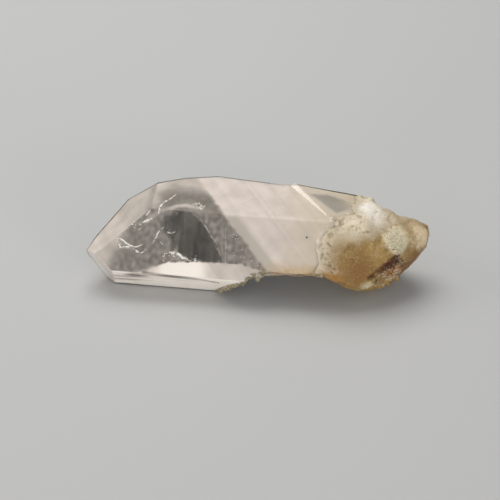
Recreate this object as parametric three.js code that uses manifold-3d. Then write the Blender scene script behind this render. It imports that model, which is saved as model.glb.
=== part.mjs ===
// A natural quartz point, lying on its side as it comes to rest on a table.
//
// One grown piece: a flattened six-sided prism that ends in three large
// rhombohedron faces on the left, and in a broken, lumpy root on the right.
// Millimetres, +Z up, X along the crystal from its tip to its root.
// While it is built, x = 0 is the tip and z = 0 the surface that it lies on.
// At the end the origin moves to the middle of the footprint.

import * as THREE from "three";
import { ConvexGeometry } from "three/addons/geometries/ConvexGeometry.js";
import { mergeVertices } from "three/addons/utils/BufferGeometryUtils.js";
import Module from "manifold-3d";

const wasm = await Module();
wasm.setup();

// Driving dimensions, in millimetres

const LENGTH = 93.5; // tip to the end of the root
const HEIGHT = 23.8; // between the top face and the face it lies on
const TIP = new THREE.Vector3(0, -1.9, 9.7);
const TIP_SPREAD = new THREE.Vector3(-2, 0, 0); // the far tip face stands a little further out
const WORN_TIP = new THREE.Vector3(0.15, -2.2, 9.9);
const AXIS_Y = 5; // the middle of the prism, which the faces are measured from
const AXIS_Z = HEIGHT / 2;

// Distance of each prism face from the middle line, and the direction that it faces,
// as an angle round the crystal: 90 is up, 0 is towards the viewer, 180 is away.
const PRISM_FACES = [
  { faces: 90, distance: HEIGHT / 2 },
  { faces: 30, distance: 9.3 },
  { faces: -30, distance: 13.4 },
  { faces: -90, distance: HEIGHT / 2 },
  { faces: 210, distance: 11.2 },
];

// Quartz keeps its angles. This is the angle from the crystal's length to the normal
// of a rhombohedron face of the given steepness: 51.8, 68.5 and 78.9 degrees.
const RHOMBOHEDRON = 1.27;
const normalAngle = (steepness) => Math.atan(RHOMBOHEDRON * steepness);

const SHAFT_END = { x: 66.6, y: 0.7 }; // where the front of the prism is lost in the root
const TAPER = THREE.MathUtils.degToRad(4.6); // the back face closes in towards the root

// The younger layer that covers the root half of the prism, with a slanting front edge
const LAYER_THICKNESS = 0.7;
const LAYER_FALL = THREE.MathUtils.degToRad(3); // it thins towards the root
const LAYER_CORNER = new THREE.Vector3(55.9, 16.4, HEIGHT + LAYER_THICKNESS); // back of its edge
const LAYER_KNOT = new THREE.Vector3(66.4, 2.6, HEIGHT + 0.4); // front end of its edge
const LAYER_RISE = new THREE.Vector3(1.9, 0.5, 1); // the way up its edge, on the top face
const LAYER_DROP = new THREE.Vector3(0.25, 0.1, 1); // and on the faces beside it
const LAYER_END = { x: 76.8, y: 12.8 };

const CRUST_GRAIN = 0.9; // a usual grain of the crust of small crystals

// Plain helpers

// The same random numbers on every run.
function randomFrom(seed) {
  let state = seed;
  return () => {
    state = (state + 0x6d2b79f5) | 0;
    let t = Math.imul(state ^ (state >>> 15), 1 | state);
    t = (t + Math.imul(t ^ (t >>> 7), 61 | t)) ^ t;
    return ((t ^ (t >>> 14)) >>> 0) / 4294967296;
  };
}

function hash(i, j, k) {
  let h = Math.imul(i, 374761393) ^ Math.imul(j, 668265263) ^ Math.imul(k, 2147483629);
  h = Math.imul(h ^ (h >>> 13), 1274126177);
  return ((h ^ (h >>> 16)) >>> 0) / 4294967296;
}

// Smooth noise from -1 to 1, with lumps about one unit across.
function noise(x, y, z) {
  const [i, j, k] = [Math.floor(x), Math.floor(y), Math.floor(z)];
  const ease = (t) => t * t * (3 - 2 * t);
  const [u, v, w] = [ease(x - i), ease(y - j), ease(z - k)];
  const mix = THREE.MathUtils.lerp;
  const along = (dj, dk) => mix(hash(i, j + dj, k + dk), hash(i + 1, j + dj, k + dk), u);
  const sheet = (dk) => mix(along(0, dk), along(1, dk), v);
  return 2 * mix(sheet(0), sheet(1), w) - 1;
}

// A value that runs smoothly through stations [[at, value], ...].
function profile(stations) {
  const points = stations.map(([at, value]) => new THREE.Vector2(at, value));
  const curve = new THREE.SplineCurve(points);
  const first = points[0].x;
  const last = points[points.length - 1].x;
  return (at) => {
    const wanted = THREE.MathUtils.clamp(at, first, last);
    const next = Math.max(1, points.findIndex((p) => p.x >= wanted));
    const span = points[next].x - points[next - 1].x;
    const share = (wanted - points[next - 1].x) / span;
    return curve.getPoint((next - 1 + share) / (points.length - 1)).y;
  };
}

// Unit vector at right angles to the crystal's length.
function across(degrees) {
  const a = THREE.MathUtils.degToRad(degrees);
  return new THREE.Vector3(0, -Math.cos(a), Math.sin(a));
}

// Closed solids

function solidOf(geometry) {
  const bare = new THREE.BufferGeometry();
  bare.setAttribute("position", geometry.getAttribute("position"));
  bare.setIndex(geometry.index);
  const merged = mergeVertices(bare, 1e-4);
  const mesh = new wasm.Mesh({
    numProp: 3,
    vertProperties: new Float32Array(merged.attributes.position.array),
    triVerts: new Uint32Array(merged.index.array),
  });
  return new wasm.Manifold(mesh);
}

function geometryOf(solid) {
  const mesh = solid.getMesh();
  const geometry = new THREE.BufferGeometry();
  geometry.setAttribute("position", new THREE.BufferAttribute(mesh.vertProperties, 3));
  geometry.setIndex(new THREE.BufferAttribute(mesh.triVerts, 1));
  return geometry;
}

// The solid behind a set of planes, each { normal, through: a point on it }.
function solidBehind(planes) {
  const level = planes.map((p) => p.normal.dot(p.through));
  const corners = [];
  const meet = new THREE.Matrix3();
  for (let a = 0; a < planes.length; a++)
    for (let b = a + 1; b < planes.length; b++)
      for (let c = b + 1; c < planes.length; c++) {
        const [n, m, o] = [planes[a].normal, planes[b].normal, planes[c].normal];
        meet.set(n.x, n.y, n.z, m.x, m.y, m.z, o.x, o.y, o.z);
        if (Math.abs(meet.determinant()) < 1e-6) continue;
        const corner = new THREE.Vector3(level[a], level[b], level[c]);
        corner.applyMatrix3(meet.invert());
        if (planes.every((p, i) => p.normal.dot(corner) < level[i] + 1e-5)) corners.push(corner);
      }
  return solidOf(new ConvexGeometry(corners));
}

// A plane that faces across the crystal, leaning towards the tip by the given angle.
function face(degrees, through, leanToTip = 0) {
  const normal = across(degrees).multiplyScalar(Math.cos(leanToTip));
  normal.x = -Math.sin(leanToTip);
  return { normal, through };
}

function prismPoint({ faces, distance }) {
  return across(faces).multiplyScalar(distance).add(new THREE.Vector3(0, AXIS_Y, AXIS_Z));
}

// The main crystal

function rhombohedronFace(degrees, through, steepness = 1) {
  return face(degrees, through, Math.PI / 2 - normalAngle(steepness));
}

function crystalPlanes() {
  const prism = PRISM_FACES.map((f) => face(f.faces, prismPoint(f)));
  // The narrow back face, which tapers, with two steep faces that round its shoulder
  const backEdge = (x, y) => new THREE.Vector3(x, y, HEIGHT);
  const back = [
    face(150, backEdge(40, 17.4), -TAPER),
    rhombohedronFace(150, backEdge(28.4, 16.6), 4),
    rhombohedronFace(150, backEdge(21, 14), 2),
    rhombohedronFace(150, new THREE.Vector3(13, 14.3, 19.9), 1),
  ];
  const tip = [90, -30].map((degrees) => rhombohedronFace(degrees, TIP));
  tip.push(rhombohedronFace(210, new THREE.Vector3(11.4, 13.4, 18.7).add(TIP_SPREAD)));
  // The very end is a little worn, so that it is blunt
  const worn = { normal: new THREE.Vector3(-0.92, 0.36, 0.1).normalize(), through: WORN_TIP };
  return [...prism, ...back, ...tip, worn];
}

// An upright plane that ends a piece of prism, inside the root.
function endPlane({ x, y }, slant) {
  const a = THREE.MathUtils.degToRad(slant);
  const normal = new THREE.Vector3(Math.cos(a), -Math.sin(a), 0);
  return { normal, through: new THREE.Vector3(x, y, 0) };
}

function mainCrystal() {
  return solidBehind([...crystalPlanes(), endPlane(SHAFT_END, 14)]);
}

// The younger layer: the prism again, a little higher, behind a slanting edge.
function youngLayer() {
  const top = face(90, LAYER_CORNER, -LAYER_FALL);
  const rest = PRISM_FACES.slice(1).map((f) => face(f.faces, prismPoint(f)));
  const back = face(150, new THREE.Vector3(LAYER_CORNER.x, 16.5, HEIGHT), -1.5 * TAPER);
  const edge = new THREE.Vector3().subVectors(LAYER_KNOT, LAYER_CORNER);
  const foot = LAYER_CORNER.clone().addScaledVector(LAYER_RISE, -LAYER_THICKNESS);
  const front = [[LAYER_RISE, LAYER_CORNER], [LAYER_DROP, foot]].map(([rise, through]) => {
    const normal = new THREE.Vector3().crossVectors(edge, rise).normalize();
    return { normal: normal.x < 0 ? normal : normal.negate(), through };
  });
  return solidBehind([top, ...rest, back, ...front, endPlane(LAYER_END, 37)]);
}

// The broken root

const ROOT_START = 59;
const ROOT_RINGS = 36;
const ROOT_SIDES = 44;
const ROOT_CENTRE = 11; // millimetres from its middle to its skin, roughly
const ROOT_SWELL = 0.06; // that it stands out beyond the prism where they meet
const rootTop = profile([
  [59, 20], [66, 22.9], [70, 23.3], [74, 24], [76.5, 23.8], [79, 22], [84, 20.5], [89, 19.2], [93.5, 17.2],
]);
const rootUnder = profile([
  [59, 9], [66, 7.6], [70, 4.9], [74, 1.5], [77, -0.4], [80, -0.4], [84, 1.3], [88, 4.6], [91, 8.6], [93.5, 12.2],
]);
const rootFront = profile([
  [59, -0.5], [62, -2.4], [66, -6], [70, -6.4], [74, -4.7], [79, -2.8], [82, -1.8], [86, 1.2], [91, 5.4],
  [93.5, 7.8],
]);
const rootBack = profile([
  [59, 14], [66, 17], [72, 17.4], [78, 18], [82, 16.4], [86, 14.4], [91, 13.4], [93.5, 12.2],
]);
const rootSquareness = profile([[59, 3.4], [72, 3.2], [80, 2.6], [93.5, 2.4]]); // 2 is an ellipse

// How far the root still follows the faces of the prism: fully at its start, not at its end.
const followsPrism = (x) => 0.8 * (1 - THREE.MathUtils.smoothstep(x, 71, 86));

// A point of the root's skin, at a station along it and an angle round it.
function rootPoint(x, angle) {
  const [top, under, front, back] = [rootTop(x), rootUnder(x), rootFront(x), rootBack(x)];
  const middle = new THREE.Vector3(x, (front + back) / 2, (top + under) / 2);
  const square = rootSquareness(x);
  const [c, s] = [Math.cos(angle), Math.sin(angle)];
  const reach = (Math.abs(c) ** square + Math.abs(s) ** square) ** (-1 / square);
  const out = new THREE.Vector3(0, (reach * c * (back - front)) / 2, (reach * s * (top - under)) / 2);
  const point = middle.clone().add(out);
  const broad = 0.75 * noise(x / 5, point.y / 5, point.z / 5);
  const fine = 0.4 * noise(x / 2.1 + 40, point.y / 2.1, point.z / 2.1);
  point.addScaledVector(out, (broad + fine) / ROOT_CENTRE);
  for (const f of PRISM_FACES) {
    const normal = across(f.faces);
    const beyond = normal.dot(point) - normal.dot(prismPoint(f)) - ROOT_SWELL;
    if (beyond > 0) point.addScaledVector(normal, -beyond * followsPrism(x));
  }
  return point;
}

function rootSolid() {
  const positions = [];
  for (let ring = 0; ring <= ROOT_RINGS; ring++) {
    const x = THREE.MathUtils.lerp(ROOT_START, LENGTH - 0.6, ring / ROOT_RINGS);
    for (let side = 0; side < ROOT_SIDES; side++) {
      const p = rootPoint(x, (2 * Math.PI * side) / ROOT_SIDES);
      const ragged = ring === ROOT_RINGS ? 0.5 * noise(p.y / 3, p.z / 3, 7) : 0;
      positions.push(p.x + ragged, p.y, p.z);
    }
  }
  const firstHub = positions.length / 3;
  const middleAt = (x) => [x, (rootFront(x) + rootBack(x)) / 2, (rootTop(x) + rootUnder(x)) / 2];
  positions.push(...middleAt(ROOT_START), ...middleAt(LENGTH));
  const index = [];
  for (let side = 0; side < ROOT_SIDES; side++) {
    const next = (side + 1) % ROOT_SIDES;
    for (let ring = 0; ring < ROOT_RINGS; ring++) {
      const [a, b] = [ring * ROOT_SIDES, (ring + 1) * ROOT_SIDES];
      index.push(a + side, a + next, b + side, a + next, b + next, b + side);
    }
    const last = ROOT_RINGS * ROOT_SIDES;
    index.push(firstHub, next, side, firstHub + 1, last + side, last + next);
  }
  const geometry = new THREE.BufferGeometry();
  geometry.setAttribute("position", new THREE.Float32BufferAttribute(positions, 3));
  geometry.setIndex(index);
  return solidOf(geometry);
}

// What is missing

// The waist, an arched hollow under the crystal where it grew against a neighbour.
// Its roof runs along the crystal, and its front rim is bevelled and rough.
const waistRoof = profile([
  [34, -3], [36.4, 0], [40, 2.6], [44, 4.4], [49, 6.2], [55, 8], [60, 9], [64, 8.6], [68, 6.2], [71, 3.6],
  [74, 0.3], [76, -3],
]);
const waistRim = profile([
  [34, 0], [36.8, 0.8], [40, 2.6], [44, 4.1], [48, 4.7], [54, 2.6], [60, 1.8], [63, 3], [66, 4.2], [69, 3.6],
  [73.5, 1], [76, 0],
]);
const WAIST = { start: 34, end: 76, front: -13, back: 24, floor: -6, rimAt: -6.2, bevel: 1.6 };

function waistHeight(x, y) {
  const rim = Math.max(0, waistRim(x) - WAIST.bevel * Math.max(0, y - WAIST.rimAt));
  const towardsBack = 1 - 0.15 * THREE.MathUtils.smoothstep(y, 2, 20);
  const rough = 0.55 * noise(x / 4.2, y / 4.2, 3) + 0.3 * noise(x / 1.7, y / 1.7, 9);
  return waistRoof(x) * towardsBack + rim + rough * THREE.MathUtils.smoothstep(waistRoof(x), 0, 3);
}

function waistHollow() {
  const length = WAIST.end - WAIST.start;
  const depth = WAIST.back - WAIST.front;
  const block = new THREE.BoxGeometry(length, depth, 2, 30, 26, 1);
  block.translate((WAIST.start + WAIST.end) / 2, (WAIST.front + WAIST.back) / 2, 0);
  const position = block.getAttribute("position");
  for (let i = 0; i < position.count; i++) {
    const roof = waistHeight(position.getX(i), position.getY(i));
    position.setZ(i, position.getZ(i) > 0 ? roof : WAIST.floor);
  }
  return solidOf(block);
}

// A shell-shaped hollow, as quartz breaks: a large ball with faint ripples round its middle.
function shellBreak({ centre, size, turn = 0, detail = 9, ripple = 0.012 }) {
  const ball = new THREE.IcosahedronGeometry(1, detail);
  const position = ball.getAttribute("position");
  const upright = new THREE.Vector3(0, 1, 0);
  const p = new THREE.Vector3();
  for (let i = 0; i < position.count; i++) {
    p.fromBufferAttribute(position, i);
    const swell = 1 + ripple * noise(p.x * 7 + centre[0], p.y * 7 + centre[1], p.z * 7);
    p.multiplyScalar(swell).multiply(new THREE.Vector3(...size));
    p.applyAxisAngle(upright, THREE.MathUtils.degToRad(-turn));
    position.setXYZ(i, p.x + centre[0], p.y + centre[1], p.z + centre[2]);
  }
  return solidOf(ball);
}

const BREAKS = [
  // The groove that runs down the front of the root, and the hollow at its foot
  { centre: [82.8, -2.2, 8.6], size: [6, 2.9, 1.9], turn: 46, detail: 7, ripple: 0.08 },
  { centre: [83.6, -2.6, 5], size: [3.6, 3.2, 2.8], detail: 6, ripple: 0.08 },
  // The flat spall on the front of the end knob
  { centre: [100.7, -3.4, 18.9], size: [14, 14, 14] },
  // The smooth face under it
  { centre: [103.5, -6, -1], size: [20, 20, 20], detail: 10 },
  // Behind the root
  { centre: [86, 27, 10], size: [15, 13, 18], detail: 12 },
];

// Small crystals

// A small quartz point, its root at a place and its tip towards a direction.
function smallPoint(place, direction, width, length, turn) {
  const corners = [];
  for (let side = 0; side < 6; side++) {
    const a = turn + (side * Math.PI) / 3;
    corners.push(new THREE.Vector3(width * Math.cos(a), width * Math.sin(a), -0.5 * length));
    corners.push(new THREE.Vector3(width * Math.cos(a), width * Math.sin(a), 0.4 * length));
  }
  corners.push(new THREE.Vector3(0.15 * width, 0, 0.4 * length + 1.1 * width));
  const stand = new THREE.Quaternion().setFromUnitVectors(new THREE.Vector3(0, 0, 1), direction);
  corners.forEach((corner) => corner.applyQuaternion(stand).add(place));
  return solidOf(new ConvexGeometry(corners));
}

// Small crystals scattered along a line of points, each leaning out of the surface.
function crustAlong({ route, count, spread, out, seed, grain }) {
  const random = randomFrom(seed);
  const line = new THREE.CatmullRomCurve3(route.map((p) => new THREE.Vector3(...p)));
  const grains = [];
  for (let i = 0; i < count; i++) {
    const place = line.getPoint((i + random()) / count);
    const jitter = new THREE.Vector3(random() - 0.5, random() - 0.5, random() - 0.5);
    place.addScaledVector(jitter, spread);
    const lean = new THREE.Vector3(random() - 0.5, random() - 0.5, random() - 0.5);
    const direction = new THREE.Vector3(...out).addScaledVector(lean, 1.3).normalize();
    const width = grain * (0.3 + 0.35 * random());
    grains.push(smallPoint(place, direction, width, width * (1.2 + random()), random() * 2));
  }
  return grains;
}

const FRONT_OUT = [0.2, -0.87, 0.5];
const CRUSTS = [
  // Up the lower front edge of the shaft, where the waist begins
  {
    route: [[37, -4.2, 1], [39.4, -5.6, 4], [42.2, -6.7, 6.6], [45.2, -7, 8.4], [49.4, -6.5, 10.4]],
    count: 60, spread: 1.4, out: [0.3, -0.85, -0.1], seed: 11, grain: CRUST_GRAIN,
  },
  // Down the front of the shaft, where the young layer thins out
  {
    route: [[65.4, 3, 23.8], [67, 0.4, 22.4], [66.4, -2.2, 18.4], [65.4, -4.2, 14.6], [68.4, -5.6, 12.4]],
    count: 30, spread: 1.1, out: FRONT_OUT, seed: 5, grain: 0.9 * CRUST_GRAIN,
  },
  // The knot of chips at the front end of the layer's edge
  {
    route: [[65, 3.4, 23.6], [66.6, 2.2, 23.5], [68.6, 1.2, 23]],
    count: 12, spread: 1, out: [0.1, -0.7, 0.7], seed: 8, grain: CRUST_GRAIN,
  },
  // The rough patch on the front of the root
  {
    route: [[82.6, 0, 18], [84, -0.2, 16.4], [84, -0.8, 14], [85.6, 0.2, 12.6], [84.6, -0.8, 11.6]],
    count: 30, spread: 2.4, out: [0.3, -0.8, 0.5], seed: 23, grain: 0.9 * CRUST_GRAIN,
  },
  // In the hollow and along its lower lip
  {
    route: [[80, -1, 2.6], [82.2, -0.2, 2.8], [84.4, 0.8, 4.4], [86, 1.4, 7.2]],
    count: 26, spread: 1.7, out: [0.25, -0.9, 0.1], seed: 37, grain: CRUST_GRAIN,
  },
];

// Everything joined

function quartzPoint() {
  let crystal = mainCrystal().add(youngLayer()).add(rootSolid()).subtract(waistHollow());
  for (const piece of BREAKS) crystal = crystal.subtract(shellBreak(piece));
  for (const crust of CRUSTS) for (const grain of crustAlong(crust)) crystal = crystal.add(grain);
  const below = new THREE.BoxGeometry(3 * LENGTH, 2 * LENGTH, LENGTH);
  below.translate(0, 0, -LENGTH / 2);
  return crystal.subtract(solidOf(below));
}

const solid = quartzPoint();
const pieces = solid.decompose().sort((a, b) => b.volume() - a.volume());
const geometry = geometryOf(pieces[0]);
geometry.computeBoundingBox();
const box = geometry.boundingBox;
geometry.computeVertexNormals();

const quartz = new THREE.MeshStandardMaterial({ color: 0xd8d2c8, roughness: 0.22, metalness: 0 });
quartz.flatShading = true;

const crystal = new THREE.Mesh(geometry, quartz);
crystal.name = "quartz_point";
crystal.position.set(-(box.min.x + box.max.x) / 2, -(box.min.y + box.max.y) / 2, -box.min.z);

const group = new THREE.Group();
group.add(crystal);
export default group;
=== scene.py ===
# %% [markdown]
# # A quartz point
#
# A natural crystal is mostly light: a clear end that shows what is inside it, a milky shaft,
# and a root that is stained by iron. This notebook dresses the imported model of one. The shape
# comes from the model, and three layers make the look: a glassy skin with the true outline, a
# milky core just under it, and the veils and cracks that float inside the clear end.

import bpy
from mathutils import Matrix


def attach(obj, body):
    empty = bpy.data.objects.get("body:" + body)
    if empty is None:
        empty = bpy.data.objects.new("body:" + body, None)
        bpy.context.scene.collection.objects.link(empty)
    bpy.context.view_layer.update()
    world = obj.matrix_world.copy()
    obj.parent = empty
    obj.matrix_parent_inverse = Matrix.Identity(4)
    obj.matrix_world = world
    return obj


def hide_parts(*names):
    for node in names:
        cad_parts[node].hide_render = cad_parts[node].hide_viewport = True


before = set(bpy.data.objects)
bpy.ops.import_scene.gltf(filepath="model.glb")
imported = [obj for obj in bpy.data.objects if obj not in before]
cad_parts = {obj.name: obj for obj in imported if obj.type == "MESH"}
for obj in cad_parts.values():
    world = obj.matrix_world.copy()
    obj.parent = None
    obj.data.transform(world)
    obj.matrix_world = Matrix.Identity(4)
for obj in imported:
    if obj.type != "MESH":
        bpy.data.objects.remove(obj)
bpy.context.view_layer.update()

# %% Tools for the rest of the notebook
import math
import random

import bmesh
import bpy
from mathutils import Matrix, Vector, noise

MM = 0.001
NOISE_SEED = 7
scene = bpy.context.scene
noise.seed_set(NOISE_SEED)  # so that the facets of the root are the same each time


def mm(*values):
    """A point or direction that is given in millimetres, in metres."""
    return Vector(values) * MM


def colour(red, green, blue):
    """A colour named as it looks, from 0 to 255, in the linear values that shaders use."""
    share = [v / 255 for v in (red, green, blue)]
    return tuple(v / 12.92 if v <= 0.04045 else ((v + 0.055) / 1.055) ** 2.4 for v in share) + (1,)


def between(value, low, high):
    """0 below low, 1 above high, and a smooth rise from one to the other."""
    t = min(1, max(0, (value - low) / (high - low)))
    return t * t * (3 - 2 * t)


def keep(name, bm):
    """Makes an object of a bmesh and links it to the scene."""
    mesh = bpy.data.meshes.new(name)
    bm.to_mesh(mesh)
    bm.free()
    piece = bpy.data.objects.new(name, mesh)
    scene.collection.objects.link(piece)
    return piece


# %% [markdown]
# ## Camera and light
#
# The crystal is seen from in front and above, through a long lens, so that its faces keep
# their angles. Soft light matters more than usual here, because glassy faces show the lamps
# themselves: a wide panel above and behind gives the broad sheen on the upper faces, and two
# weaker ones fill the front. The floor is plain and pale.

# %% Camera
CAMERA_AZIMUTH = math.radians(3.15)
CAMERA_ELEVATION = math.radians(38.54)
CAMERA_ROLL = math.radians(2.59)
CAMERA_DISTANCE = 0.3309
CAMERA_TARGET = mm(-1.4, -14.3, 19.0)

towards_camera = Vector((
    math.sin(CAMERA_AZIMUTH) * math.cos(CAMERA_ELEVATION),
    -math.cos(CAMERA_AZIMUTH) * math.cos(CAMERA_ELEVATION),
    math.sin(CAMERA_ELEVATION),
))
camera = bpy.data.objects.new("camera", bpy.data.cameras.new("camera"))
camera.data.lens = 90
camera.data.clip_start = 0.01
turn = towards_camera.to_track_quat("Z", "Y").to_matrix().to_4x4()
roll = Matrix.Rotation(CAMERA_ROLL, 4, "Z")
camera.matrix_world = Matrix.Translation(CAMERA_TARGET + towards_camera * CAMERA_DISTANCE) @ turn @ roll
scene.collection.objects.link(camera)
scene.camera = camera
print("the camera stands at", [round(v, 3) for v in camera.matrix_world.translation])

# %% Lights, floor and the colour of the air
scene.view_settings.view_transform = "Standard"


def panel(name, place, width, height, watts, tint=(1, 1, 1)):
    """A soft panel of light that faces the crystal."""
    light = bpy.data.lights.new(name, "AREA")
    light.shape = "RECTANGLE"
    light.size = width
    light.size_y = height
    light.energy = watts
    light.color = tint
    lamp = bpy.data.objects.new(name, light)
    lamp.location = place
    lamp.rotation_euler = (Vector((0, 0, 0.01)) - Vector(place)).to_track_quat("-Z", "Y").to_euler()
    scene.collection.objects.link(lamp)


panel("panel above", (-0.15, 0.3, 0.75), 0.7, 0.5, 4.6, (1, 0.985, 0.96))
panel("panel left", (-0.8, -0.1, 0.35), 0.4, 0.5, 1.4)
panel("panel front", (0.7, -0.65, 0.2), 0.5, 0.35, 2.3)
panel("panel low", (-0.45, -0.8, 0.08), 0.6, 0.12, 3.2)

air = bpy.data.worlds.new("air")
scene.world = air
air.use_nodes = True
air.node_tree.nodes["Background"].inputs["Color"].default_value = (0.9, 0.92, 0.95, 1)
air.node_tree.nodes["Background"].inputs["Strength"].default_value = 0.34

bm = bmesh.new()
bmesh.ops.create_grid(bm, x_segments=1, y_segments=1, size=2)
floor = keep("floor", bm)
paper = bpy.data.materials.new("pale floor")
paper.use_nodes = True
paper.node_tree.nodes["Principled BSDF"].inputs["Base Color"].default_value = (0.52, 0.52, 0.51, 1)
paper.node_tree.nodes["Principled BSDF"].inputs["Roughness"].default_value = 0.7
floor.data.materials.append(paper)

# %% [markdown]
# ## The skin
#
# The flat faces of a crystal are true mirrors, so they stay exactly as the model has them, and
# only their edges get a hair-thin bevel that catches the light. The root and the arched waist
# are rough. There the triangles are divided and moved by noise, with nothing moved at the
# border, so that the rough parts still meet the flat ones.

# %% Where the stained shell of the root will lie
SHELL_ROOM = 0.55  # how far skin and core draw back under the shell, in millimetres


def root_start(p):
    """How far along the crystal the stained shell starts, on the side where this place is."""
    side = max(between(-p.y, 2, 9), 0.8 * between(p.y, 4, 10))
    upper = between(p.z, 20.5, 23)
    knot = between(-p.y, 1.5, 3.5)
    return 24 - 8.5 * side * (1 - upper) - 5 * knot * upper + 1.5 * noise.noise(p * 0.45)


def under_shell(p):
    """0 in front of the shell's rim, 1 where the shell hides everything."""
    return between(p.x - root_start(p), 1.5, 4)


# %% Copy the model and sort its faces
CRYSTAL_FACE = 12 * MM**2  # a flat face is larger than this
ONE_PLANE = math.radians(0.4)  # triangles that differ by less than this are one face
SHARP_EDGE = math.radians(8)  # only edges sharper than this get a bevel
WORN_EDGE = 0.11 * MM
ROUGH_EDGE = 0.55 * MM  # the longest edge left in a rough part
ON_PLANE = 0.13 * MM  # how near a face has to lie to count as part of a flat one
LIFTED_CLEAR = 0.4 * MM  # nothing below this height is moved, so that the crystal lies flat


def merged_copy():
    """The model's mesh with its triangles joined at shared corners."""
    bm = bmesh.new()
    bm.from_mesh(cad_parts["quartz_point"].data)
    bmesh.ops.remove_doubles(bm, verts=bm.verts, dist=1e-6)
    return bm


bm = merged_copy()
tag = bm.faces.layers.int.new("rough")
rough_layer = bm.verts.layers.float.new("roughness")
bmesh.ops.dissolve_limit(bm, angle_limit=ONE_PLANE, verts=bm.verts, edges=bm.edges)
flat_faces = [f for f in bm.faces if f.calc_area() > CRYSTAL_FACE]
flat_planes = [(f.normal.copy(), f.normal.dot(f.calc_center_median())) for f in flat_faces]
print(len(flat_faces), "flat crystal faces, areas in mm2:",
      sorted((round(f.calc_area() / MM**2) for f in flat_faces), reverse=True))

# %% Wear the edges
flat_set = set(flat_faces)
worn = [
    e for e in bm.edges
    if len(e.link_faces) == 2 and all(f in flat_set for f in e.link_faces)
    and e.calc_face_angle(0) > SHARP_EDGE
]
bevel = bmesh.ops.bevel(bm, geom=worn, offset=WORN_EDGE, segments=2, profile=0.6, affect="EDGES",
                        clamp_overlap=True)
print("bevelled", len(worn), "edges into", len(bevel["faces"]), "faces")


# %% Divide and roughen the rest
def on_flat(face):
    """Whether a face lies in one of the crystal's flat planes or is a bevel between them."""
    middle = face.calc_center_median()
    return any(abs(n.dot(middle) - level) < ON_PLANE and n.dot(face.normal) > 0.8
               for n, level in flat_planes) and face.calc_area() > 0.6 * MM**2


bevel_faces = set(bevel["faces"])
flat_now = {f for f in bm.faces if f in bevel_faces or on_flat(f)}
rough_now = [f for f in bm.faces if f not in flat_now]
bmesh.ops.triangulate(bm, faces=rough_now)
print(len(flat_now), "flat and", len(rough_now), "rough faces")

for face in bm.faces:
    face[tag] = 0 if face in flat_now else 1
for _ in range(3):
    long_edges = [e for e in bm.edges if e.calc_length() > ROUGH_EDGE
                  and e.link_faces and all(f[tag] for f in e.link_faces)]
    if not long_edges:
        break
    bmesh.ops.subdivide_edges(bm, edges=long_edges, cuts=1, use_grid_fill=False)
    bmesh.ops.triangulate(bm, faces=[f for f in bm.faces if f[tag] and len(f.verts) > 3])

loose = {v: (0.0 if any(not f[tag] for f in v.link_faces) else 1.0) for v in bm.verts}
for _ in range(3):
    loose = {v: (0.0 if share == 0 else
                 (share + sum(loose[e.other_vert(v)] for e in v.link_edges)) / (1 + len(v.link_edges)))
             for v, share in loose.items()}
bm.normal_update()
moves = {}
for v, share in loose.items():
    if share == 0 or v.co.z < LIFTED_CLEAR:
        continue
    p = v.co / MM
    bare = 1 - between(p.x - root_start(p), -2.5, -0.5)
    uneven = 0.16 * noise.noise(p * 0.9) + 0.09 * noise.noise(p * 2.3 + Vector((7, 3, 1)))
    moves[v] = v.normal * share * MM * (bare * uneven - SHELL_ROOM * under_shell(p))
for v, move in moves.items():
    v.co += move
bm.normal_update()

for v, share in loose.items():
    v[rough_layer] = share
for face in bm.faces:
    face.smooth = bool(face[tag])
bmesh.ops.triangulate(bm, faces=[f for f in bm.faces if len(f.verts) > 4])
skin = keep("quartz_skin", bm)
skin.data.validate()
print("the skin has", len(skin.data.polygons), "faces")

# %% [markdown]
# ## Places on the crystal
#
# The three faces that the camera sees best are the top, the front and the lower front. They
# are unrolled here like paper: along is the way from the tip to the root, and down is the way
# down from the ridge between the top and the front, so that it is negative on the top face.
# Most of what is inside the clear end is placed by lines on this paper, and by a depth below.

# %% Name the faces and unroll them
TILT = math.radians(51.8)  # from the length of the crystal to the normal of a tip face
TOP_HEIGHT = 23.8
RIDGE_Y = -5.35  # the ridge between the top and the front
FRONT_LENGTH = 18.5  # from that ridge down the front face to the lower ridge


def around(degrees):
    """The normal of the prism face that looks this way: 90 is up, 0 is towards the viewer."""
    a = math.radians(degrees)
    return Vector((0, -math.cos(a), math.sin(a)))


def tip_face(degrees):
    """The normal of the tip face over that prism face."""
    return around(degrees) * math.sin(TILT) - Vector((math.cos(TILT), 0, 0))


FACES = {
    "top": around(90), "front": around(30), "lower front": around(-30), "under": around(-90),
    "back": around(150), "lower back": around(210),
    "tip top": tip_face(90), "tip front": tip_face(-30), "tip back": tip_face(210),
}
DOWN_FRONT = Vector((0, -math.sin(math.radians(30)), -math.cos(math.radians(30))))
DOWN_LOWER = Vector((0, math.sin(math.radians(30)), -math.cos(math.radians(30))))


def on_faces(along, down, depth):
    """The place, in metres, that lies depth millimetres below the unrolled faces."""
    ridge = Vector((along, RIDGE_Y, TOP_HEIGHT))
    if down < 0:
        return (ridge - Vector((0, down, depth))) * MM
    if down < FRONT_LENGTH:
        return (ridge + DOWN_FRONT * down - FACES["front"] * depth) * MM
    lower = ridge + DOWN_FRONT * FRONT_LENGTH
    return (lower + DOWN_LOWER * (down - FRONT_LENGTH) - FACES["lower front"] * depth) * MM


def unroll(face, p):
    """How far along and down a place in millimetres is, seen from one of the three faces."""
    if face == "top":
        return Vector((p.x, RIDGE_Y - p.y))
    if face == "front":
        return Vector((p.x, (TOP_HEIGHT - p.z) / math.cos(math.radians(30))))
    lower_z = TOP_HEIGHT - FRONT_LENGTH * math.cos(math.radians(30))
    return Vector((p.x, FRONT_LENGTH + (lower_z - p.z) / math.cos(math.radians(30))))


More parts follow.
